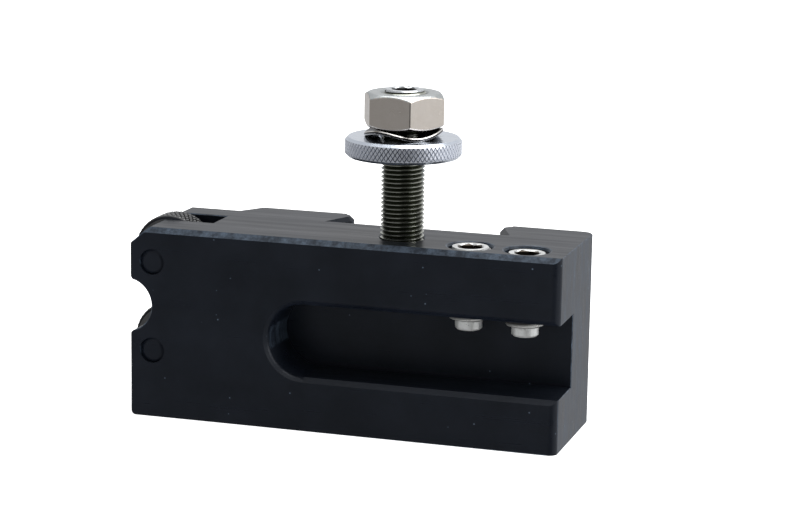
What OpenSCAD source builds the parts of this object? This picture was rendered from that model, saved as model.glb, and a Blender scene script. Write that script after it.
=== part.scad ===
// Knurling and facing tool holder for a wedge or piston type quick change tool post.
// Frame: +X points to the open end of the tool slot, +Y to the tool post, +Z up.
// Origin: centre of the dovetail's mouth, on the back face, at the bottom of the block.

/* [Holder block] */
// Dovetail centre to the open end of the tool slot
tool_end_l = 40.1; // [34:0.1:60]
// Dovetail centre to the end that carries the knurl wheels
head_end_l = 62.6; // [58:0.1:80]
// Front face to back face
block_w = 33.3; // [31:0.1:45]
// Bottom to top
block_h = 45; // [38:0.5:60]
// Chamfer along the front edge of the top
top_chamfer = 1.2; // [0.4:0.1:2]
// Radius of the upright edge at the front of the tool end
front_edge_r = 2; // [0.5:0.1:3]
// Radius of the upright edge at the back of the tool end
back_edge_r = 3; // [0.5:0.1:5]
// Radius of the upright edge at the front of the head end
head_edge_r = 0.8; // [0.3:0.1:2]

/* [Dovetail] */
// Width of the mouth, between the rounded noses of the jaws
mouth_w = 36; // [30:0.5:40]
// Depth of the channel below the back face
channel_depth = 11; // [8:0.5:13]
// Angle between a flank and the back face
flank_angle = 60; // [55:1:70]
// Radius of the nose on each jaw
nose_r = 2.6; // [1:0.1:3.5]

/* [Tool slot] */
// Bottom of the block to the floor of the slot
slot_floor = 12.6; // [8:0.1:16]
// Floor to roof, for a shank of 16 mm
slot_h = 17.05; // [12:0.05:21]
// Front face to the back wall of the slot
slot_depth = 13.4; // [11:0.1:17]
// Open end to the end of the full radius
slot_l = 68.6; // [50:0.1:75]
// Chamfer round the mouth of the slot
slot_chamfer = 1.1; // [0.3:0.1:1.5]

/* [Knurling head] */
// Thickness of the head, both ears and the gap between them
head_t = 27.4; // [24:0.1:30]
// Length of the head before the back face slopes out to full width
head_l = 17; // [14:0.1:20]
// Slope of that shoulder against the back face
shoulder_angle = 56.5; // [45:0.5:80]
// Radius where that shoulder meets the back face
shoulder_r = 1.2; // [0.3:0.1:2]
// Length of the chamfer at the top corner of the head
head_chamfer_l = 4.7; // [2:0.1:5]
// Height of that chamfer
head_chamfer_h = 4.1; // [2:0.1:4.8]
// Radius at the bottom corner of the head
head_foot_r = 1.5; // [0.5:0.1:3]
// Thickness of the front ear
ear_t = 10.6; // [8:0.1:12]
// Radius of the notch that clears the work between the wheels
notch_r = 6.3; // [5:0.1:8]
// Depth of that notch from the end face
notch_depth = 5.4; // [3:0.1:6]
// Radius of the lips of the notch
lip_r = 1.6; // [0.5:0.1:2.5]

/* [Knurl wheels and pins] */
// Diameter of a wheel over its knurl
wheel_d = 18; // [14:0.1:20]
// Width of a wheel
wheel_w = 7; // [5:0.1:10]
// Chamfer on the rims of a wheel
wheel_chamfer = 0.7; // [0.3:0.1:1.2]
// Distance between the two pins
pin_spacing = 21; // [20.5:0.1:24]
// Top of the block to the upper pin
pin_drop = 8.1; // [7:0.1:10]
// End of the head to the pins
pin_inset = 5.5; // [4.5:0.05:7]
// Diameter of a pin
pin_d = 6; // [4:0.1:7]
// Chamfer at each end of a pin
pin_chamfer = 1; // [0.3:0.1:1.4]
// Depth of a pin's end below the face of the ear
pin_recess = 0.4; // [0.1:0.1:1]

/* [Height stud and nuts] */
// Diameter of the stud
stud_d = 10; // [8:0.1:12]
// Top of the block to the end of the stud
stud_rise = 34.2; // [26:0.1:45]
// Metal left between the stud's hole and the roof of the slot
stud_floor = 2.8; // [2:0.1:4]
// Top of the block to the underside of the knurled nut
nut_rise = 18.8; // [5:0.1:24]
// Diameter of the knurled nut
height_nut_d = 26.6; // [22:0.1:30]
// Thickness of the knurled nut
height_nut_t = 4.5; // [3:0.1:8]
// Chamfer on the rims of the knurled nut
height_nut_chamfer = 0.6; // [0.2:0.1:1]
// Outer diameter of the spring washer
washer_d = 18; // [15:0.1:20]
// Thickness of the washer's strip
washer_t = 0.8; // [0.4:0.1:1.2]
// Free height of the curved washer
washer_h = 2.1; // [1.5:0.1:3]
// Distance across the flats of the lock nut
lock_nut_af = 17; // [15:0.5:19]
// Height of the lock nut
lock_nut_h = 8; // [5:0.1:10]
// Distance across the flats of the hexagon socket in the stud
stud_socket_af = 5; // [3:0.1:5.5]

/* [Clamp screws] */
// Diameter of a clamp screw
screw_d = 10; // [8:0.1:11]
// Length of a clamp screw with its dog point
screw_l = 19; // [15:0.1:26]
// Diameter of the dog point
dog_d = 6.2; // [4:0.1:7.5]
// Length of the dog point
dog_l = 2.5; // [1:0.1:4]
// Distance across the flats of the socket in a clamp screw
screw_socket_af = 5; // [3:0.1:5.5]
// Open end of the block to the outer screw
screw_end_gap = 9.6; // [8:0.1:12]
// Distance between the two screws
screw_pitch = 13.2; // [12:0.1:16]
// Front face to the axes of the screws
screw_inset = 7.4; // [6.5:0.1:8]
// How far the inner screw stands out below the slot's roof
inner_reach = 3.75; // [3:0.05:12]
// How far the outer screw stands out below the slot's roof
outer_reach = 4.2; // [3:0.05:12]

/* [Fits] */
// Running clearance round a shaft or thread, on the radius
run_fit = 0.05; // [0.02:0.01:0.1]
// Gap between a wheel and the front ear
wheel_side_gap = 0.35; // [0.2:0.05:0.6]
// Gap between a wheel and the back ear
wheel_back_gap = 1.95; // [0.2:0.05:3]
// Gap between a wheel and the end of its slot
wheel_end_gap = 2.1; // [1:0.05:3]
// Gap between the washer and each nut
stack_gap = 0.05; // [0.02:0.01:0.2]

/* [Hidden] */
$fn = 96;

black_oxide = [0.13, 0.14, 0.16];
dark_steel = [0.32, 0.33, 0.31];
bright_steel = [0.78, 0.78, 0.8];
ground_steel = [0.62, 0.63, 0.65];

over = 1;                 // how far a cutter runs past a face
arc_overlap = 0.01;       // how far two arcs that meet run into each other
hole_chamfer = 0.4;       // countersink at the mouth of a threaded hole
nut_bore_chamfer = 0.6;   // countersink in the bore of a nut
thread_end_chamfer = 0.8; // chamfer at the end of a thread
drill_angle = 31;         // slope of the drill point at the bottom of a blind hole
stud_foot_gap = 0.5;      // room left below the stud in its hole
nut_corner_angle = 30;    // slope of the chamfer on the corners of the lock nut
nut_face_inset = 0.15;    // how far the lock nut's end faces stop inside its flats
lock_nut_turn = -5;       // how the lock nut's corners stand about the stud
washer_turn = 39;         // how the washer's bend stands about the stud
wheel_bore_chamfer = 0.4; // countersink in the bore of a wheel
washer_fit = 0.25;        // play of the washer on the stud, on the radius
socket_depth = 5;         // depth of each hexagon socket
screw_end_chamfer = 0.9;  // chamfer at the top end of a clamp screw
dog_tip_chamfer = 0.4;    // chamfer at the tip of a dog point
dog_cone_angle = 30;      // slope between a dog point and the thread above it

front_y = -block_w;
head_x = -head_end_l;
slot_r = slot_h / 2;
slot_roof = slot_floor + slot_h;
slot_end_x = tool_end_l - slot_l;

stud_r = stud_d / 2;
stud_y = -(block_w + channel_depth) / 2;
stud_top = block_h + stud_rise;
drill_point = stud_r * tan(drill_angle);
stud_hole_z = slot_roof + stud_floor + drill_point;
stud_foot = stud_hole_z + stud_foot_gap;

height_nut_z = block_h + nut_rise;
washer_z = height_nut_z + height_nut_t + stack_gap;
lock_nut_z = washer_z + washer_h + stack_gap;
washer_sag = washer_h - washer_t;
washer_r = washer_d / 2;
washer_bend_r = (washer_r * washer_r + washer_sag * washer_sag) / (2 * washer_sag);

wheel_r = wheel_d / 2;
pin_x = head_x + pin_inset;
upper_pin_z = block_h - pin_drop;
lower_pin_z = upper_pin_z - pin_spacing;
notch_z = (upper_pin_z + lower_pin_z) / 2;
wheel_slot_y = front_y + ear_t;
wheel_slot_w = wheel_w + wheel_side_gap + wheel_back_gap;
wheel_slot_end = pin_x + wheel_r + wheel_end_gap;

outer_screw_x = tool_end_l - screw_end_gap;
inner_screw_x = outer_screw_x - screw_pitch;
screw_y = front_y + screw_inset;

// A cylinder with a chamfer of its own at each end, upright from z = 0
module chamfered_rod(r, h, foot, top) {
    rotate_extrude()
        polygon([[0, 0], [r - foot, 0], [r, foot], [r, h - top], [r - top, h], [0, h]]);
}

// What a round of radius r takes off a square corner at the origin.
// The metal lies towards +x and +y.
module corner_waste(r) {
    difference() {
        translate([-over, -over]) square(r + over);
        translate([r, r]) circle(r);
    }
}

// Hexagonal prism, upright from z = 0, by its distance across the flats
module hexagon(af, h) {
    cylinder(d = af / cos(30), h = h, $fn = 6);
}

// Plan of the block, seen from above
module block_plan() {
    recess = block_w - head_t;
    shoulder_x = head_x + head_l;
    shoulder_run = recess / tan(shoulder_angle);
    difference() {
        polygon([[head_x, front_y], [tool_end_l, front_y], [tool_end_l, 0],
                 [shoulder_x + shoulder_run, 0], [shoulder_x, -recess], [head_x, -recess]]);
        channel_plan();
        shoulder_waste(shoulder_x + shoulder_run);
        translate([head_x, front_y]) corner_waste(head_edge_r);
        translate([head_x, -recess]) mirror([0, 1]) corner_waste(head_edge_r);
        translate([tool_end_l, front_y]) mirror([1, 0]) corner_waste(front_edge_r);
        translate([tool_end_l, 0]) rotate(180) corner_waste(back_edge_r);
    }
}

// What the round takes off where the shoulder reaches the back face, at x
module shoulder_waste(x) {
    tangent = shoulder_r * tan(shoulder_angle / 2);
    difference() {
        polygon([[x, over], [x + tangent, 0], [x + tangent, -shoulder_r],
                 [x - tangent * cos(shoulder_angle), -tangent * sin(shoulder_angle)],
                 [x - over, 0]]);
        translate([x + tangent, -shoulder_r]) circle(shoulder_r);
    }
}

// Plan of the dovetail channel with the rounded noses of its jaws
module channel_plan() {
    nose_x = mouth_w / 2 + nose_r;
    flank_x = nose_x - nose_r * sin(flank_angle);
    flank_y = -nose_r - nose_r * cos(flank_angle);
    floor_x = flank_x + (channel_depth + flank_y) / tan(flank_angle);
    difference() {
        polygon([[-floor_x, -channel_depth], [floor_x, -channel_depth], [flank_x, flank_y],
                 [nose_x, -nose_r], [nose_x, over], [-nose_x, over],
                 [-nose_x, -nose_r], [-flank_x, flank_y]]);
        for (side = [-1, 1]) translate([side * nose_x, -nose_r]) circle(nose_r);
    }
}

// Profile of the work notch in the X-Z plane, with rounded lips
module notch_profile() {
    centre_x = head_x + notch_depth - notch_r;
    lip_x = head_x + lip_r;
    reach = notch_r + lip_r - arc_overlap;
    lip_rise = sqrt(reach * reach - (lip_x - centre_x) * (lip_x - centre_x));
    translate([centre_x, notch_z]) circle(notch_r);
    for (side = [-1, 1])
        difference() {
            polygon([[centre_x, notch_z], [lip_x, notch_z + side * lip_rise],
                     [centre_x, notch_z + side * lip_rise]]);
            translate([lip_x, notch_z + side * lip_rise]) circle(lip_r);
        }
}

// Profile of the chamfer at the top corner of the head, in the X-Z plane
module head_corner_profile() {
    slope = head_chamfer_h / head_chamfer_l;
    polygon([[head_x - over, block_h - head_chamfer_h - over * slope],
             [head_x - over, block_h + over],
             [head_x + head_chamfer_l + over / slope, block_h + over]]);
}

// Stands an X-Z profile up and runs it from y0 towards +Y
module along_y(y0, l) {
    translate([0, y0 + l, 0]) rotate([90, 0, 0]) linear_extrude(l) children();
}

// Everything cut away for the tool, with a full radius at the closed end
module tool_slot() {
    run = slot_l - slot_r + over;
    centre_x = slot_end_x + slot_r;
    centre_z = slot_floor + slot_r;
    cut_y = front_y - over;
    translate([centre_x, cut_y, slot_floor]) cube([run, slot_depth + over, slot_h]);
    translate([centre_x, cut_y, centre_z])
        rotate([-90, 0, 0]) cylinder(r = slot_r, h = slot_depth + over);
    translate([centre_x, front_y, centre_z]) rotate([-90, 0, 0])
        cylinder(r1 = slot_r + slot_chamfer, r2 = slot_r, h = slot_chamfer);
    translate([centre_x, 0, 0]) rotate([90, 0, 90]) linear_extrude(run)
        polygon([[front_y - over, slot_floor - slot_chamfer - over],
                 [front_y + slot_chamfer, slot_floor],
                 [front_y + slot_chamfer, slot_roof],
                 [front_y - over, slot_roof + slot_chamfer + over]]);
}

// Threaded hole through the roof of the tool slot
module screw_hole(x) {
    r = screw_d / 2 + run_fit;
    translate([x, screw_y, slot_roof - over])
        cylinder(r = r, h = block_h - slot_roof + 2 * over);
    translate([x, screw_y, block_h - hole_chamfer])
        cylinder(r1 = r, r2 = r + hole_chamfer + over, h = hole_chamfer + over);
}

// Blind hole for the height stud, with its drill point
module stud_hole() {
    translate([0, stud_y, stud_hole_z]) cylinder(r = stud_r, h = block_h);
    translate([0, stud_y, stud_hole_z - drill_point])
        cylinder(r1 = 0, r2 = stud_r, h = drill_point);
    translate([0, stud_y, block_h - hole_chamfer])
        cylinder(r1 = stud_r, r2 = stud_r + hole_chamfer + over, h = hole_chamfer + over);
}

// Wedge that cuts a 45 degree chamfer of size c along the front edge of the top
module top_edge_chamfer(c) {
    translate([head_x - over, 0, 0]) rotate([90, 0, 90])
        linear_extrude(head_end_l + tool_end_l + 2 * over)
            polygon([[front_y - over, block_h - c - over], [front_y - over, block_h + over],
                     [front_y + c + over, block_h + over]]);
}

// The hardened block with its dovetail, tool slot and knurling head
module holder_block() {
    color(black_oxide)
    difference() {
        linear_extrude(block_h) block_plan();
        tool_slot();
        top_edge_chamfer(top_chamfer);
        translate([head_x - over, wheel_slot_y, -over])
            cube([wheel_slot_end - head_x + over, wheel_slot_w, block_h + 2 * over]);
        along_y(front_y - over, block_w + 2 * over) notch_profile();
        along_y(front_y - over, block_w + 2 * over)
            head_corner_profile();
        along_y(front_y - over, block_w + 2 * over)
            translate([head_x, 0]) corner_waste(head_foot_r);
        for (z = [upper_pin_z, lower_pin_z])
            along_y(front_y - over, block_w + 2 * over) translate([pin_x, z]) circle(d = pin_d);
        screw_hole(inner_screw_x);
        screw_hole(outer_screw_x);
        stud_hole();
    }
}

// Threaded stud that the height nut runs on
module height_stud() {
    color(dark_steel)
    translate([0, stud_y, stud_foot])
        difference() {
            chamfered_rod(stud_r, stud_top - stud_foot, thread_end_chamfer, thread_end_chamfer);
            translate([0, 0, stud_top - stud_foot - socket_depth])
                hexagon(stud_socket_af, socket_depth + over);
        }
}

// Bore of a nut on the stud, countersunk at both ends, upright from z = 0
module nut_bore(h) {
    r = stud_r + run_fit;
    c = nut_bore_chamfer;
    translate([0, 0, -over]) cylinder(r = r, h = h + 2 * over);
    translate([0, 0, -over]) cylinder(r1 = r + c + over, r2 = r, h = c + over);
    translate([0, 0, h - c]) cylinder(r1 = r, r2 = r + c + over, h = c + over);
}

// Knurled nut whose underside rests on the tool post and sets the height
module height_nut() {
    color(bright_steel)
    translate([0, stud_y, height_nut_z])
        difference() {
            chamfered_rod(height_nut_d / 2, height_nut_t, height_nut_chamfer, height_nut_chamfer);
            nut_bore(height_nut_t);
        }
}

// Profile of the washer's bent strip, in the X-Z plane, standing on z = 0
module washer_strip() {
    half = washer_r + over;
    intersection() {
        translate([-half, 0]) square([2 * half, washer_h + over]);
        difference() {
            translate([0, washer_bend_r + washer_t]) circle(washer_bend_r + washer_t, $fn = 360);
            translate([0, washer_bend_r + washer_t]) circle(washer_bend_r, $fn = 360);
        }
    }
}

// Curved spring washer between the two nuts
module spring_washer() {
    color(ground_steel)
    translate([0, stud_y, washer_z]) rotate(washer_turn)
        intersection() {
            along_y(-washer_r - over, washer_d + 2 * over) washer_strip();
            linear_extrude(washer_h + over)
                difference() {
                    circle(washer_r);
                    circle(stud_r + washer_fit);
                }
        }
}

// Hexagon nut that locks the knurled nut
module lock_nut() {
    corner_r = lock_nut_af / 2 / cos(30);
    face_r = lock_nut_af / 2 - nut_face_inset;
    drop = (corner_r - face_r) * tan(nut_corner_angle);
    color(bright_steel)
    translate([0, stud_y, lock_nut_z]) rotate(lock_nut_turn)
        difference() {
            intersection() {
                hexagon(lock_nut_af, lock_nut_h);
                rotate_extrude()
                    polygon([[0, 0], [face_r, 0], [corner_r, drop], [corner_r, lock_nut_h - drop],
                             [face_r, lock_nut_h], [0, lock_nut_h]]);
            }
            nut_bore(lock_nut_h);
        }
}

// Dog point set screw that clamps the tool, at x, with its tip at reach below the roof
module clamp_screw(x, reach) {
    r = screw_d / 2;
    dog_r = dog_d / 2;
    end_c = screw_end_chamfer;
    point_c = dog_tip_chamfer;
    cone_h = (r - dog_r) * tan(dog_cone_angle);
    color(bright_steel)
    translate([x, screw_y, slot_roof - reach])
        difference() {
            rotate_extrude()
                polygon([[0, 0], [dog_r - point_c, 0], [dog_r, point_c], [dog_r, dog_l],
                         [r, dog_l + cone_h], [r, screw_l - end_c],
                         [r - end_c, screw_l], [0, screw_l]]);
            translate([0, 0, screw_l - socket_depth]) hexagon(screw_socket_af, socket_depth + over);
        }
}

module inner_clamp_screw() { clamp_screw(inner_screw_x, inner_reach); }
module outer_clamp_screw() { clamp_screw(outer_screw_x, outer_reach); }

// Hardened knurl wheel, free to turn on its pin at height z
module knurl_wheel(z) {
    r = pin_d / 2 + run_fit;
    c = wheel_bore_chamfer;
    color(dark_steel)
    translate([pin_x, wheel_slot_y + wheel_side_gap, z]) rotate([-90, 0, 0])
        difference() {
            chamfered_rod(wheel_r, wheel_w, wheel_chamfer, wheel_chamfer);
            translate([0, 0, -over]) cylinder(r = r, h = wheel_w + 2 * over);
            translate([0, 0, -over]) cylinder(r1 = r + c + over, r2 = r, h = c + over);
            translate([0, 0, wheel_w - c]) cylinder(r1 = r, r2 = r + c + over, h = c + over);
        }
}

module upper_knurl_wheel() { knurl_wheel(upper_pin_z); }
module lower_knurl_wheel() { knurl_wheel(lower_pin_z); }

// Pin pressed through both ears at height z, a little below the face at each end
module wheel_pin(z) {
    color(black_oxide)
    translate([pin_x, front_y + pin_recess, z]) rotate([-90, 0, 0])
        chamfered_rod(pin_d / 2, head_t - 2 * pin_recess, pin_chamfer, pin_chamfer);
}

module upper_wheel_pin() { wheel_pin(upper_pin_z); }
module lower_wheel_pin() { wheel_pin(lower_pin_z); }

holder_block();
height_stud();
height_nut();
spring_washer();
lock_nut();
inner_clamp_screw();
outer_clamp_screw();
upper_knurl_wheel();
lower_knurl_wheel();
upper_wheel_pin();
lower_wheel_pin();
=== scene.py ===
"""Looks for a knurling and facing tool holder.

Each piece is made from its CAD node's place and size: a black oxide block with plated nuts,
bright screws, a dark spring washer and knurl wheels on blued pins.
"""
import math

import bmesh
import bpy
from mathutils import Matrix, Vector


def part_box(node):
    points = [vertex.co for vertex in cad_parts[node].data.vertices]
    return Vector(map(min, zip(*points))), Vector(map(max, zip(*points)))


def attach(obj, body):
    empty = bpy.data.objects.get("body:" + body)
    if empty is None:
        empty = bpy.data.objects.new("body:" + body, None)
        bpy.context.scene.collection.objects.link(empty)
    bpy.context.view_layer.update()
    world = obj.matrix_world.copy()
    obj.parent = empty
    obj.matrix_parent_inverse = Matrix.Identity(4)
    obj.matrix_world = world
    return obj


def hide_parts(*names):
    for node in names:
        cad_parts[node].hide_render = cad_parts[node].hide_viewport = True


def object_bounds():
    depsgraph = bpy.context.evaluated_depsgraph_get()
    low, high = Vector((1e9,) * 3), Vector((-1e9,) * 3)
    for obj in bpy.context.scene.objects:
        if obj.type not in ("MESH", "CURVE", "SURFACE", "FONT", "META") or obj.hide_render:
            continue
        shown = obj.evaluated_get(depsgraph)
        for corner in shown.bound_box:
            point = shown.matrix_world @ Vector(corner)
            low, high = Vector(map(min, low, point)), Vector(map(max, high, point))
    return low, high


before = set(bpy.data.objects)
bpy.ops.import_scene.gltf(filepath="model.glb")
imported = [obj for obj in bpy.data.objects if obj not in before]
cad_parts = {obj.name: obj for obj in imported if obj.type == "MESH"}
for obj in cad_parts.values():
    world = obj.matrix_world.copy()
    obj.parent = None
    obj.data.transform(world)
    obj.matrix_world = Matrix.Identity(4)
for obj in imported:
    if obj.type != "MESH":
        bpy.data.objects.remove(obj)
cad_low, cad_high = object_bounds()

MM = 0.001
WELD = 1e-6  # points closer than this are one
ON_CUT = 1e-8  # points this close to a cut are on it

# Sizes used by more than one piece
STUD_PITCH, SCREW_PITCH = 1.0 * MM, 1.5 * MM
SOCKET_ACROSS, SOCKET_DEPTH, SOCKET_REACH = 5 * MM, 5 * MM, 2.9 * MM
NUT_BORE, PIN_BORE = 5.05 * MM, 3.05 * MM

# Shapes ------------------------------------------------------------------------------------

def ends_of(node):
    """Lowest corner, highest corner and middle of a CAD node."""
    low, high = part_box(node)
    return low, high, (low + high) / 2


def shown_as(name, bm, material, body, node, crease=32):
    """Makes an object of a finished shape, and lets it stand for its CAD node."""
    mesh = bpy.data.meshes.new(name)
    bm.to_mesh(mesh)
    bm.free()
    mesh.materials.append(material)
    mesh.shade_smooth()
    mesh.set_sharp_from_angle(angle=math.radians(crease))
    piece = bpy.data.objects.new(name, mesh)
    bpy.context.scene.collection.objects.link(piece)
    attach(piece, body)
    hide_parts(node)
    return piece


def outline(bm, points, closed):
    """Joins points (radius, height) into a line of edges in the X-Z plane."""
    corners = [bm.verts.new((r, 0, z)) for r, z in points]
    edges = [bm.edges.new(pair) for pair in zip(corners, corners[1:])]
    if closed:
        edges.append(bm.edges.new((corners[-1], corners[0])))
    return corners + edges


def turned(points, steps, closed=True):
    """Turns an outline right round the Z axis, as on a lathe."""
    bm = bmesh.new()
    bmesh.ops.spin(bm, geom=outline(bm, points, closed), cent=(0, 0, 0), axis=(0, 0, 1),
                   angle=math.tau, steps=steps, use_merge=True, use_normal_flip=False)
    bmesh.ops.remove_doubles(bm, verts=bm.verts, dist=WELD)
    bmesh.ops.recalc_face_normals(bm, faces=bm.faces)
    return bm


def put_at(vert, radius, height):
    """Moves a vertex in or out to a radius, and up or down to a height."""
    flat = Vector((vert.co.x, vert.co.y)).normalized() * radius
    vert.co = Vector((flat.x, flat.y, height))


def rim_at(bm, height):
    """The open edges of a tube that lie at a height."""
    return [e for e in bm.edges
            if e.is_boundary and all(abs(v.co.z - height) < WELD for v in e.verts)]


def edges_of(verts):
    """The edges that end at some vertices, each once and always in the same order."""
    return list(dict.fromkeys(e for v in verts for e in v.link_edges))


def step_in(bm, rim, rings):
    """Carries an open rim on through rings of (radius, height). Gives the last rim."""
    for radius, height in rings:
        grown = bmesh.ops.extrude_edge_only(bm, edges=rim)["geom"]
        for v in grown:
            if isinstance(v, bmesh.types.BMVert):
                put_at(v, radius, height)
        rim = [e for e in grown if isinstance(e, bmesh.types.BMEdge) and e.is_boundary]
    return rim


def cut_off(bm, low, high):
    """Cuts away what lies below and above two heights, and leaves open rims there."""
    for height, way in ((low, -1), (high, 1)):
        whole = bm.verts[:] + bm.edges[:] + bm.faces[:]
        bmesh.ops.bisect_plane(bm, geom=whole, dist=ON_CUT, plane_co=(0, 0, height),
                               plane_no=(0, 0, way), clear_outer=True)


def rolled_thread(low, high, radius, pitch, low_lead, high_lead, steps=48):
    """Open tube with a right-hand V thread, its crests cut back by a cone at both ends.

    The tooth's points are (radius, share of the pitch).
    """
    depth = 0.58 * pitch
    root = radius - depth
    seam = 6e-6  # how far one turn's last point may lie from the next turn's first
    bm = bmesh.new()
    start = low - 2 * pitch
    tooth = [(root, 0.0), (root, 0.09), (root + 0.1 * depth, 0.14), (radius, 0.44),
             (radius, 0.56), (root + 0.1 * depth, 0.86), (root, 0.91), (root, 1.0)]
    turns = math.ceil((high - low) / pitch) + 4
    line = outline(bm, [(r, start + share * pitch) for r, share in tooth], False)
    bmesh.ops.spin(bm, geom=line, cent=(0, 0, 0), axis=(0, 0, 1), dvec=(0, 0, pitch / steps),
                   angle=math.tau * turns, steps=steps * turns, use_merge=False)
    bmesh.ops.remove_doubles(bm, verts=bm.verts, dist=seam)
    for v in bm.verts:
        r = math.hypot(v.co.x, v.co.y)
        most = min(radius, radius - low_lead + v.co.z - low,
                   radius - high_lead + high - v.co.z)
        if r > most > 0:
            put_at(v, most, v.co.z)
    cut_off(bm, low, high)
    return bm


def close_with_socket(bm, rim, top, across, depth):
    """Closes a round end with a hexagon socket, countersunk, with a drilled floor."""
    corner = across / 2 / math.cos(math.pi / 6)
    mouth_gap, sink = 0.25 * MM, 0.3 * MM
    rim = step_in(bm, rim, [(corner + mouth_gap, top)])
    hexagon = bmesh.ops.create_circle(bm, segments=6, radius=corner,
                                      matrix=Matrix.Translation((0, 0, top - sink)))
    mouth = edges_of(hexagon["verts"])
    bmesh.ops.bridge_loops(bm, edges=rim + mouth)
    walls = bmesh.ops.extrude_edge_only(bm, edges=mouth)["geom"]
    foot = [v for v in walls if isinstance(v, bmesh.types.BMVert)]
    bmesh.ops.translate(bm, verts=foot, vec=(0, 0, sink - depth))
    floor = [e for e in walls if isinstance(e, bmesh.types.BMEdge) and e.is_boundary]
    bmesh.ops.contextual_create(bm, geom=floor)


def knurled_tube(radius, low, high, count, tall, depth):
    """Open tube with a knurl: count flat-topped diamonds round it, each tall high."""
    rows = math.ceil((high - low) / tall) + 1
    bevel = 0.55 * depth
    foot = (low + high - rows * tall) / 2
    bm = bmesh.new()
    ring = bmesh.ops.create_circle(bm, segments=count, radius=radius - depth,
                                   matrix=Matrix.Translation((0, 0, foot)))
    rim = edges_of(ring["verts"])
    for row in range(rows):
        rim = step_in(bm, rim, [(radius - depth, foot + (row + 1) * tall)])
    square = [e for e in bm.edges if not e.is_boundary]
    bmesh.ops.poke(bm, faces=bm.faces[:])
    bmesh.ops.dissolve_edges(bm, edges=square, use_verts=False)
    for v in bm.verts:
        put_at(v, radius - depth, v.co.z)
    corners = set(bm.verts)
    bmesh.ops.inset_individual(bm, faces=bm.faces[:], thickness=bevel)
    for v in bm.verts:
        if v not in corners:
            put_at(v, radius, v.co.z)
    cut_off(bm, low, high)
    return bm


def knurled_disc(radius, thickness, bore, count, tall, depth, rim_chamfer, bore_chamfer):
    """Flat disc about the Z axis with a knurled rim, chamfers and a plain bore."""
    bm = knurled_tube(radius, rim_chamfer, thickness - rim_chamfer, count, tall, depth)
    shoulder = radius - 0.3 * depth
    face = shoulder - rim_chamfer
    bores = []
    for low, start in ((0, rim_chamfer), (thickness, thickness - rim_chamfer)):
        inward = bore_chamfer if low == 0 else -bore_chamfer
        rim = rim_at(bm, start)
        for v in {v for e in rim for v in e.verts}:
            put_at(v, shoulder, start)
        rings = [(face, low), (bore + bore_chamfer, low), (bore, low + inward)]
        bores += step_in(bm, rim, rings)
    bmesh.ops.bridge_loops(bm, edges=bores)
    bmesh.ops.recalc_face_normals(bm, faces=bm.faces)
    return bm


# Finishes ----------------------------------------------------------------------------------

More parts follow.
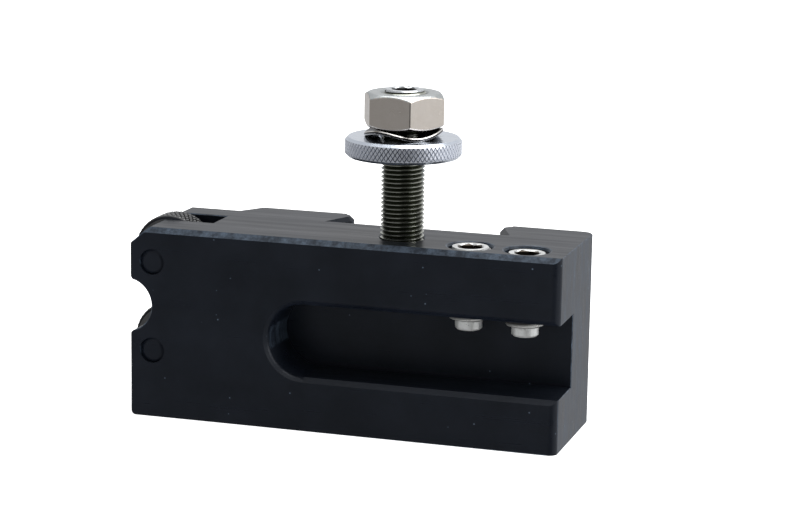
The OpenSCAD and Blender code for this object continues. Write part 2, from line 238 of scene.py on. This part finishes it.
class Finish:
    """A material whose nodes are added one after another."""

    def __init__(self, name):
        self.material = bpy.data.materials.new(name)
        self.material.use_nodes = True
        self.nodes = self.material.node_tree.nodes
        self.links = self.material.node_tree.links
        self.shader = self.nodes["Principled BSDF"]
        self.place = self.nodes.new("ShaderNodeTexCoord").outputs["Object"]

    def link(self, source, target):
        self.links.new(source, target)

    def stretched(self, scale, turn=(0, 0, 0)):
        """Coordinates in which a pattern is drawn out along the axes with small numbers."""
        node = self.nodes.new("ShaderNodeMapping")
        node.inputs["Scale"].default_value = scale
        node.inputs["Rotation"].default_value = turn
        self.link(self.place, node.inputs["Vector"])
        return node.outputs["Vector"]

    def noise(self, scale, detail=3, roughness=0.55, place=None):
        node = self.nodes.new("ShaderNodeTexNoise")
        node.inputs["Scale"].default_value = scale
        node.inputs["Detail"].default_value = detail
        node.inputs["Roughness"].default_value = roughness
        self.link(place or self.place, node.inputs["Vector"])
        return node.outputs["Fac"]

    def from_axis(self, middle, across):
        """Distance from a line through middle. across is 1 for each axis square to it."""
        centred = self.nodes.new("ShaderNodeVectorMath")
        centred.operation = "SUBTRACT"
        centred.inputs[1].default_value = middle
        self.link(self.place, centred.inputs[0])
        flat = self.nodes.new("ShaderNodeVectorMath")
        flat.operation = "MULTIPLY"
        flat.inputs[1].default_value = across
        self.link(centred.outputs["Vector"], flat.inputs[0])
        length = self.nodes.new("ShaderNodeVectorMath")
        length.operation = "LENGTH"
        self.link(flat.outputs["Vector"], length.inputs[0])
        return length.outputs["Value"]

    def dots(self, scale, radius, share):
        """Small round spots in some of the cells of a pattern."""
        node = self.nodes.new("ShaderNodeTexVoronoi")
        node.inputs["Scale"].default_value = scale
        self.link(self.place, node.inputs["Vector"])
        near = self.ramp(node.outputs["Distance"], 1, 0, (radius, 2 * radius))
        chosen = self.nodes.new("ShaderNodeSeparateColor")
        self.link(node.outputs["Color"], chosen.inputs["Color"])
        return self.maths("MULTIPLY", near, self.ramp(chosen.outputs["Red"], 0, 1,
                                                      (share, share + 0.05)))

    def ramp(self, value, low, high, at=(0.0, 1.0)):
        """Turns a value between two limits into a number from low to high."""
        node = self.nodes.new("ShaderNodeMapRange")
        node.inputs["From Min"].default_value = at[0]
        node.inputs["From Max"].default_value = at[1]
        node.inputs["To Min"].default_value = low
        node.inputs["To Max"].default_value = high
        self.link(value, node.inputs["Value"])
        return node.outputs["Result"]

    def maths(self, kind, first, second):
        node = self.nodes.new("ShaderNodeMath")
        node.operation = kind
        for socket, value in zip(node.inputs, (first, second)):
            if isinstance(value, (int, float)):
                socket.default_value = value
            else:
                self.link(value, socket)
        return node.outputs["Value"]

    def mix(self, share, first, second):
        """Mixes two colours by a share from 0 to 1."""
        node = self.nodes.new("ShaderNodeMix")
        node.data_type = "RGBA"
        self.link(share, node.inputs["Factor"])
        for socket, colour in ((node.inputs[6], first), (node.inputs[7], second)):
            if isinstance(colour, tuple):
                socket.default_value = (*colour, 1)
            else:
                self.link(colour, socket)
        return node.outputs[2]

    def bump(self, height, distance, strength=1.0, under=None):
        node = self.nodes.new("ShaderNodeBump")
        node.inputs["Strength"].default_value = strength
        node.inputs["Distance"].default_value = distance
        self.link(height, node.inputs["Height"])
        if under is not None:
            self.link(under, node.inputs["Normal"])
        return node.outputs["Normal"]

    def drive(self, **sockets):
        """Links outputs to, or sets numbers on, the shader's sockets."""
        for name, value in sockets.items():
            socket = self.shader.inputs[name.replace("_", " ").title().replace("Ior", "IOR")]
            if isinstance(value, (int, float)):
                socket.default_value = value
            elif isinstance(value, tuple):
                socket.default_value = (*value, 1)
            else:
                self.link(value, socket)
        return self.material


def black_oxide(name, wear_and_sheen=0, upright=False):
    """Blued steel: near black, with a faint blue cast, grinding lines and rubbed specks; the
    wear variant adds pale blue patches that are partly rubbed wear and partly a painted
    highlight.
    """
    look = Finish(name)
    fine_way = (2600, 2600, 160) if upright else (45, 2400, 2400)
    wide_way = (700, 700, 60) if upright else (22, 420, 420)
    lines = look.noise(1, 3, 0.65, look.stretched(fine_way))
    streaks = look.noise(1, 3, 0.6, look.stretched(wide_way))
    clouds = look.noise(70, 4, 0.6)
    grain = look.noise(3200, 3, 0.6)
    dark, blue = (0.0028, 0.0040, 0.0068), (0.0052, 0.0070, 0.0115)
    bare = (0.085, 0.115, 0.155)
    colour = look.mix(look.ramp(clouds, 0, 1, (0.35, 0.7)), dark, blue)
    rubbed_and_sheen = look.maths("MULTIPLY", look.dots(320, 0.035, 0.62), 0.8)
    if upright:
        rubbed_and_sheen = look.maths("ADD", rubbed_and_sheen, look.ramp(lines, 0, 0.55, (0.50, 0.80)))
        rubbed_and_sheen = look.maths("ADD", rubbed_and_sheen, look.ramp(streaks, 0, 0.30, (0.45, 0.70)))
    # Wear variant: pale blue rubbed patches, partly real wear and partly a painted highlight
    # on edges and chamfer.
    if wear_and_sheen:
        edge_rubs_and_sheen = look.ramp(look.noise(420, 5, 0.75), 0, 0.85, (0.40, 0.74))
        rubbed_and_sheen = look.maths("ADD", rubbed_and_sheen, look.maths("ADD", edge_rubs_and_sheen, 0.12))
    colour = look.mix(look.maths("MINIMUM", rubbed_and_sheen, 1.0), colour, bare)
    rough = look.maths("ADD", look.ramp(streaks, 0.28, 0.40, (0.3, 0.7)),
                       look.ramp(lines, -0.05, 0.05, (0.3, 0.7)))
    depth = 0.02 if upright else 0.004
    normal = look.bump(lines, depth * MM, 0.5, look.bump(grain, 0.005 * MM, 0.5))
    return look.drive(base_color=colour, roughness=rough, normal=normal,
                      specular_ior_level=0.17 if upright else 0.26,
                      specular_tint=(0.86, 0.9, 1.0) if upright else (0.88, 0.93, 1.0))


def bare_metal(name, tint, dull, roughness, grain=3000, depth=0.004, stain=0.5, metallic=1.0,
               roots=None):
    """Bright or dark metal with stains and a fine grain.

    roots is (middle, across, root radius, crest radius, colour), for painted shade between
    teeth.
    """
    look = Finish(name)
    patches = look.ramp(look.noise(350, 5, 0.65), 0, stain, (0.42, 0.75))
    fine = look.noise(grain, 3, 0.6)
    colour = look.mix(patches, tint, dull)
    rough = look.maths("ADD", look.ramp(patches, roughness, roughness + 0.12),
                       look.ramp(fine, -0.04, 0.06, (0.3, 0.7)))
    if roots:
        middle, across, root, crest, root_shade = roots
        # The roots colour is painted shade, strongest at the root radius and gone at the
        # crest.
        reach = look.ramp(look.from_axis(middle, across), 0, 1, (root, crest))
        colour = look.mix(reach, root_shade, colour)
        rough = look.maths("ADD", rough, look.ramp(reach, 0.2, 0))
    return look.drive(base_color=colour, roughness=rough, metallic=metallic,
                      normal=look.bump(fine, depth * MM, 0.6))


# Pieces ------------------------------------------------------------------------------------

def broken_edges(bm, edges, width):
    """Breaks edges with a flat of a given width, and gives the faces that makes."""
    return bmesh.ops.bevel(bm, geom=edges, offset=width, offset_type="OFFSET", segments=1,
                           profile=0.5, affect="EDGES", clamp_overlap=False,
                           material=-1)["faces"]


def block():
    """The CAD block, with its outer edges broken and the dovetail's ends chamfered."""
    low, high, _ = ends_of("holder_block")
    pins = [ends_of(which + "_wheel_pin")[2] for which in ("upper", "lower")]
    lead_in_width, edge_width, pin_reach = 1.0 * MM, 0.2 * MM, 3.2 * MM
    channel_depth, channel_side = 10.95 * MM, 24 * MM
    chamfer_reach, top_reach, shortest_edge = 1.3 * MM, 1.5 * MM, 0.3 * MM
    broad_area, clear_of_back, sharp = 12 * MM * MM, 0.02 * MM, math.radians(24)
    bm = bmesh.new()
    bm.from_mesh(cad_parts["holder_block"].data)
    bmesh.ops.remove_doubles(bm, verts=bm.verts, dist=WELD)
    bmesh.ops.dissolve_limit(bm, angle_limit=math.radians(0.2), use_dissolve_boundaries=False,
                             verts=bm.verts, edges=bm.edges)

    def is_sharp(e):
        return e.is_manifold and e.calc_face_angle() > sharp

    def on_chamfer(f):
        slanted = abs(f.normal.y + math.sqrt(0.5)) < 0.02
        return slanted and f.calc_center_median().y < low.y + chamfer_reach

    def on_top(f):
        return on_chamfer(f) and f.calc_center_median().z > high.z - top_reach

    def at_pin(e):
        return any(math.hypot(v.co.x - pin.x, v.co.z - pin.z) < pin_reach
                   for v in e.verts for pin in pins)

    lead_in = []
    for e in bm.edges:
        middle = (e.verts[0].co + e.verts[1].co) / 2
        at_end = min(abs(middle.z - low.z), abs(middle.z - high.z)) < WELD
        inside = -channel_depth < middle.y < -clear_of_back
        on_flank = inside and abs(middle.x) < channel_side
        if at_end and on_flank and is_sharp(e):
            lead_in.append(e)
    wide = broken_edges(bm, lead_in, lead_in_width)
    narrow = [e for e in bm.edges
              if is_sharp(e) and e.is_convex and e.calc_length() > shortest_edge
              and not any(f in wide or on_chamfer(f) for f in e.link_faces)
              and not at_pin(e)]
    worn_and_sheen_faces = set(broken_edges(bm, narrow, edge_width))
    # Material 1 goes on the small edge flats and the top chamfer: partly rubbed wear, partly
    # a painted highlight.
    for f in bm.faces:
        f.material_index = 1 if f in worn_and_sheen_faces or on_top(f) else 2 if f.normal.x > 0.95 else 0
    bmesh.ops.recalc_face_normals(bm, faces=bm.faces)
    piece = shown_as("holder_block_oxide", bm, black_oxide("black oxide"), "holder",
                     "holder_block", crease=24)
    for broad in piece.data.polygons:
        broad.use_smooth = broad.area < broad_area
    piece.data.materials.append(black_oxide("black oxide, rubbed edge and painted highlight", wear_and_sheen=1))
    piece.data.materials.append(black_oxide("black oxide, ground end", upright=True))


def mark_end(bm, top, socket):
    """Material 1 for the flat ring at the top end, 2 for the socket inside it, which carries
    painted shade.
    """
    mouth, ring = top - 0.1 * MM, top - 0.35 * MM
    for f in bm.faces:
        middle = f.calc_center_median()
        if math.hypot(middle.x, middle.y) < socket and middle.z < mouth:
            f.material_index = 2
        elif middle.z > ring:
            f.material_index = 1


def stud():
    """Fine-threaded stud, screwed into the block, with a socket in its top."""
    low, high, middle = ends_of("height_stud")
    radius = (high.x - low.x) / 2
    lead = 0.8 * MM
    bm = rolled_thread(low.z, high.z, radius, STUD_PITCH, lead, lead)
    bmesh.ops.contextual_create(bm, geom=rim_at(bm, low.z))
    close_with_socket(bm, rim_at(bm, high.z), high.z, SOCKET_ACROSS, SOCKET_DEPTH)
    mark_end(bm, high.z, SOCKET_REACH)
    bmesh.ops.translate(bm, verts=bm.verts, vec=(middle.x, middle.y, 0))
    bmesh.ops.recalc_face_normals(bm, faces=bm.faces)
    # Darker colour in the thread roots is painted shade between the teeth.
    stud_root_shade = (0.022, 0.026, 0.014)
    roots = (middle, (1, 1, 0), radius - 0.5 * MM, radius - 0.08 * MM, stud_root_shade)
    steel = bare_metal("thread steel", (0.55, 0.56, 0.50), (0.40, 0.41, 0.35), 0.16,
                       grain=1500, depth=0.0004, stain=0.4, roots=roots)
    piece = shown_as("height_stud_threaded", bm, steel, "holder", "height_stud")
    piece.data.materials.append(bare_metal("stud end steel", (0.62, 0.64, 0.66),
                                           (0.4, 0.42, 0.42), 0.25))
    # Near-black socket material is painted shade inside the recess.
    piece.data.materials.append(bare_metal("stud socket, painted shade", (0.05, 0.05, 0.05),
                                           (0.02, 0.02, 0.02), 0.4))


def clamp_screw(which):
    """Socket set screw with a dog point."""
    node = which + "_clamp_screw"
    low, high, middle = ends_of(node)
    radius = (high.x - low.x) / 2
    low_lead, high_lead = 0.7 * MM, 0.9 * MM
    dog, dog_length, dog_chamfer = 3.1 * MM, 2.2 * MM, 0.4 * MM
    neck_out, neck_down = 0.15 * MM, 0.2 * MM
    dog_top = low.z + dog_length
    shank = dog_top + 0.3 * MM
    bm = rolled_thread(shank, high.z, radius, SCREW_PITCH, low_lead, high_lead)
    tip = step_in(bm, rim_at(bm, shank),
                  [(dog + neck_out, dog_top), (dog, dog_top - neck_down),
                   (dog, low.z + dog_chamfer), (dog - dog_chamfer, low.z)])
    bmesh.ops.contextual_create(bm, geom=tip)
    close_with_socket(bm, rim_at(bm, high.z), high.z, SOCKET_ACROSS, SOCKET_DEPTH)
    mark_end(bm, high.z, SOCKET_REACH)
    for f in bm.faces:
        if f.calc_center_median().z < shank - 0.2 * MM:
            f.material_index = 1
    bmesh.ops.translate(bm, verts=bm.verts, vec=(middle.x, middle.y, 0))
    bmesh.ops.recalc_face_normals(bm, faces=bm.faces)
    # Painted shade in the thread roots.
    root_shade = (0.05, 0.05, 0.05)
    roots = (middle, (1, 1, 0), radius - 0.8 * MM, radius - 0.15 * MM, root_shade)
    thread = bare_metal(which + " screw thread", (0.85, 0.85, 0.83), (0.6, 0.6, 0.57), 0.25,
                        grain=1500, depth=0.0006, metallic=0.6, roots=roots)
    piece = shown_as(node + "_threaded", bm, thread, which + "_screw", node)
    piece.data.materials.append(bare_metal(which + " screw steel", (0.72, 0.73, 0.72),
                                           (0.42, 0.42, 0.40), 0.3, grain=1500, depth=0.001,
                                           stain=0.7, metallic=0.7))
    # Near-black socket material is painted shade inside the recess.
    piece.data.materials.append(bare_metal(which + " screw socket, painted shade", (0.06, 0.05, 0.04),
                                           (0.03, 0.025, 0.02), 0.35))


def height_nut():
    """Thin round nut with bright sides and a knurled rim, with painted shade between its
    teeth.
    """
    low, high, middle = ends_of("height_nut")
    rim = (high.x - low.x) / 2
    count, tall, depth, chamfer = 80, 1.52 * MM, 0.34 * MM, 0.6 * MM
    bm = knurled_disc(rim, high.z - low.z, NUT_BORE, count, tall, depth, chamfer, chamfer)
    bmesh.ops.translate(bm, verts=bm.verts, vec=(middle.x, middle.y, low.z))
    # Dark roots colour is painted shade between the knurl teeth.
    roots = (middle, (1, 1, 0), rim - depth, rim - 0.14 * MM, (0.05, 0.05, 0.06))
    plate = bare_metal("bright plating", (0.70, 0.75, 0.83), (0.5, 0.54, 0.62), 0.16,
                       grain=1800, depth=0.0006, stain=0.35)
    knurl = bare_metal("bright plating, painted shade in roots", (0.84, 0.87, 0.94), (0.66, 0.7, 0.76),
                       0.42, grain=1800, depth=0.0006, stain=0.35, roots=roots)
    for f in bm.faces:
        out = f.calc_center_median() - middle
        f.material_index = 1 if math.hypot(out.x, out.y) > rim - 0.4 * MM else 0
    piece = shown_as("height_nut_knurled", bm, plate, "knurled_nut", "height_nut",
                     crease=25)
    piece.data.materials.append(knurl)


def lock_nut():
    """Hexagon nut, its corners cut back by a cone at both ends."""
    low, high, middle = ends_of("lock_nut")
    height = high.z - low.z
    across, face, bore, lip = 17 * MM, 8.0 * MM, NUT_BORE, 0.6 * MM
    cone, turn = math.radians(30), math.radians(-5)
    corner = across / 2 / math.cos(math.pi / 6)
    bm = turned([(bore, lip), (bore + lip, 0), (face, 0), (corner, 0), (corner, height),
                 (face, height), (bore + lip, height), (bore, height - lip)], 144)
    for v in bm.verts:
        if math.hypot(v.co.x, v.co.y) > corner - WELD:
            off_flat = math.atan2(v.co.y, v.co.x) % (math.pi / 3) - math.pi / 6
            radius = across / 2 / math.cos(off_flat)
            drop = (radius - face) * math.tan(cone)
            put_at(v, radius, drop if v.co.z < height / 2 else height - drop)
    # Material 1, on the top face, is a darker copy of the plating: painted shade to tone down
    # the lit top.
    for f in bm.faces:
        f.material_index = 1 if f.normal.z > 0.5 else 0
    bmesh.ops.rotate(bm, verts=bm.verts, cent=(0, 0, 0),
                     matrix=Matrix.Rotation(turn, 3, "Z"))
    bmesh.ops.translate(bm, verts=bm.verts, vec=(middle.x, middle.y, low.z))
    nickel = bare_metal("nickel plating", (0.72, 0.66, 0.60), (0.60, 0.54, 0.47), 0.2,
                        grain=900, depth=0.0008, stain=0.4)
    piece = shown_as("lock_nut_chamfered", bm, nickel, "hexagon_nut", "lock_nut",
                     crease=18)
    # Darker top plating is painted shade.
    piece.data.materials.append(bare_metal("nickel plating, painted shade on top", (0.42, 0.44, 0.44),
                                           (0.30, 0.31, 0.31), 0.3, stain=0.6))
    soft = piece.modifiers.new("soft corners", "BEVEL")
    soft.width = 0.28 * MM
    soft.segments = 3
    soft.angle_limit = math.radians(24)
    soft.harden_normals = True


def spring_washer():
    """Washer bent into three waves, dark, with a painted highlight on its edge chamfers."""
    low, high, middle = ends_of("spring_washer")
    thick, bore, radius = 0.8 * MM, 5.25 * MM, 9.0 * MM
    sag = high.z - low.z - thick
    valley, waves = math.radians(-51), 3
    edge, lanes = 0.2 * MM, 8
    across = [bore + edge + k * (radius - bore - 2 * edge) / lanes for k in range(lanes + 1)]
    under = [(bore, thick - edge), (bore, edge)] + [(r, 0) for r in across]
    over = [(radius, edge), (radius, thick - edge)] + [(r, thick) for r in reversed(across)]
    bm = turned(under + over, 120)
    for f in bm.faces:
        # Material 1 on the slanted edge faces is a pale painted highlight.
        f.material_index = 1 if 0.2 < abs(f.normal.z) < 0.95 else 0
    for v in bm.verts:
        turn = math.atan2(v.co.y, v.co.x) - valley
        v.co.z += sag / 2 * (1 - math.cos(waves * turn))
    bmesh.ops.translate(bm, verts=bm.verts, vec=(middle.x, middle.y, low.z))
    steel = bare_metal("dark spring steel", (0.07, 0.07, 0.075), (0.03, 0.03, 0.035), 0.22)
    piece = shown_as("spring_washer_bent", bm, steel, "washer", "spring_washer")
    piece.data.materials.append(bare_metal("spring steel, painted edge highlight", (0.75, 0.73, 0.7),
                                           (0.4, 0.38, 0.35), 0.25))


def stand_along_y(bm, middle, low):
    """Turns a shape built up the Z axis so that it runs along Y from low.y."""
    bmesh.ops.rotate(bm, verts=bm.verts, cent=(0, 0, 0),
                     matrix=Matrix.Rotation(-math.pi / 2, 3, "X"))
    bmesh.ops.translate(bm, verts=bm.verts, vec=(middle.x, low.y, middle.z))


def knurl_wheel(which):
    """Dark hardened wheel with a coarse knurl and ground sides."""
    node = which + "_knurl_wheel"
    low, high, middle = ends_of(node)
    rim = (high.x - low.x) / 2
    count, tall, depth = 48, 2.0 * MM, 0.45 * MM
    rim_chamfer, bore_chamfer = 0.7 * MM, 0.4 * MM
    bm = knurled_disc(rim, high.y - low.y, PIN_BORE, count, tall, depth, rim_chamfer,
                      bore_chamfer)
    stand_along_y(bm, middle, low)
    # Near-black roots colour is painted shade between the knurl teeth.
    roots = (middle, (1, 0, 1), rim - depth, rim - 0.1 * MM, (0.012, 0.013, 0.016))
    steel = bare_metal(which + " wheel steel", (0.13, 0.13, 0.13), (0.05, 0.05, 0.052), 0.34,
                       grain=2200, depth=0.002, roots=roots)
    for f in bm.faces:
        f.material_index = 1 if abs(f.normal.y) > 0.9 else 0
    piece = shown_as(node + "_cut", bm, steel, which + "_wheel", node,
                     crease=25)
    piece.data.materials.append(bare_metal(which + " wheel side", (0.16, 0.16, 0.16),
                                           (0.08, 0.08, 0.08), 0.4))


def wheel_pin(which):
    """Plain blued pin through both ears, a little domed at its ends."""
    node = which + "_wheel_pin"
    low, high, middle = ends_of(node)
    radius, length = (high.x - low.x) / 2, high.y - low.y
    step, drop = 0.8 * MM, 0.35 * MM
    bm = turned([(0, 0), (radius - step, 0), (radius, drop), (radius, length - drop),
                 (radius - step, length), (0, length)], 64, closed=False)
    stand_along_y(bm, middle, low)
    shown_as(node + "_blued", bm, black_oxide(which + " pin oxide"), "holder", node,
             crease=20)


block()
stud()
height_nut()
spring_washer()
lock_nut()
for which in ("inner", "outer"):
    clamp_screw(which)
for which in ("upper", "lower"):
    knurl_wheel(which)
    wheel_pin(which)


# Studio ------------------------------------------------------------------------------------

def floor():
    """White floor, just below the block so that the two never share a plane."""
    half_width, gap = 6, 0.02 * MM
    bm = bmesh.new()
    bmesh.ops.create_grid(bm, x_segments=1, y_segments=1, size=half_width,
                          matrix=Matrix.Translation((0, 0, cad_low.z - gap)))
    mesh = bpy.data.meshes.new("floor")
    bm.to_mesh(mesh)
    bm.free()
    plane = bpy.data.objects.new("floor", mesh)
    bpy.context.scene.collection.objects.link(plane)
    look = Finish("white floor")
    look.drive(base_color=(0.8, 0.8, 0.8), roughness=0.9, specular_ior_level=0.0,
               emission_color=(1, 1, 1), emission_strength=0.82)
    mesh.materials.append(look.material)
    plane.visible_glossy = False


def surroundings():
    """A pale room, brightest to the right and overhead, with a dark patch by the camera."""
    world = bpy.data.worlds.new("studio")
    bpy.context.scene.world = world
    world.use_nodes = True
    nodes, links = world.node_tree.nodes, world.node_tree.links
    direction = nodes.new("ShaderNodeTexCoord").outputs["Generated"]

    def patch(heading, start, end, low, high):
        """Goes from low to high as a direction nears a heading."""
        towards = nodes.new("ShaderNodeVectorMath")
        towards.operation = "DOT_PRODUCT"
        towards.inputs[1].default_value = Vector(heading).normalized()
        links.new(direction, towards.inputs[0])
        ramp = nodes.new("ShaderNodeMapRange")
        ramp.interpolation_type = "SMOOTHSTEP"
        ramp.inputs["From Min"].default_value = start
        ramp.inputs["From Max"].default_value = end
        ramp.inputs["To Min"].default_value = low
        ramp.inputs["To Max"].default_value = high
        links.new(towards.outputs["Value"], ramp.inputs["Value"])
        return ramp.outputs["Result"]

    product = nodes.new("ShaderNodeMath")
    product.operation = "MULTIPLY"
    links.new(patch((0.5, 0.55, 0.67), -0.9, 0.8, 0.3, 0.8), product.inputs[0])
    links.new(patch((0.52, -0.85, 0.0), 0.80, 0.96, 1.0, 0.12), product.inputs[1])
    links.new(product.outputs["Value"], nodes["Background"].inputs["Strength"])
    nodes["Background"].inputs["Color"].default_value = (0.97, 0.98, 1.0, 1)


def softbox(name, place, aim, size, power):
    """Rectangular lamp, size across and up in metres, power in watts."""
    light = bpy.data.lights.new(name, "AREA")
    light.shape = "RECTANGLE"
    light.size, light.size_y = size
    light.energy = power
    lamp = bpy.data.objects.new(name, light)
    lamp.location = place
    lamp.rotation_euler = (Vector(aim) - Vector(place)).to_track_quat("-Z", "Y").to_euler()
    bpy.context.scene.collection.objects.link(lamp)


def camera():
    """Looks a little down on the front face, from the right of the middle."""
    eye = Vector((171.1, -580.0, 162.8)) * MM
    yaw, pitch, roll = math.radians(17.108), math.radians(12.051), math.radians(0.926)
    ahead = Vector((-math.sin(yaw) * math.cos(pitch), math.cos(yaw) * math.cos(pitch),
                    -math.sin(pitch)))
    side = ahead.cross(Vector((0, 0, 1))).normalized()
    upright = side.cross(ahead)
    right = side * math.cos(roll) + upright * math.sin(roll)
    up = upright * math.cos(roll) - side * math.sin(roll)
    data = bpy.data.cameras.new("camera")
    data.lens, data.sensor_width = 117.54, 36
    data.clip_start, data.clip_end = 0.01, 50
    view = bpy.data.objects.new("camera", data)
    turn = Matrix((right, up, -ahead)).transposed()
    view.matrix_world = Matrix.Translation(eye) @ turn.to_4x4()
    bpy.context.scene.collection.objects.link(view)
    bpy.context.scene.camera = view


floor()
surroundings()
centre = (cad_low + cad_high) / 2
softbox("overhead softbox", (0.05, 0.15, 0.75), centre, (0.9, 0.7), 6)
softbox("right softbox", (0.8, -0.1, 0.4), centre, (0.4, 0.6), 2.5)
camera()
bpy.context.scene.view_settings.view_transform = "Standard"
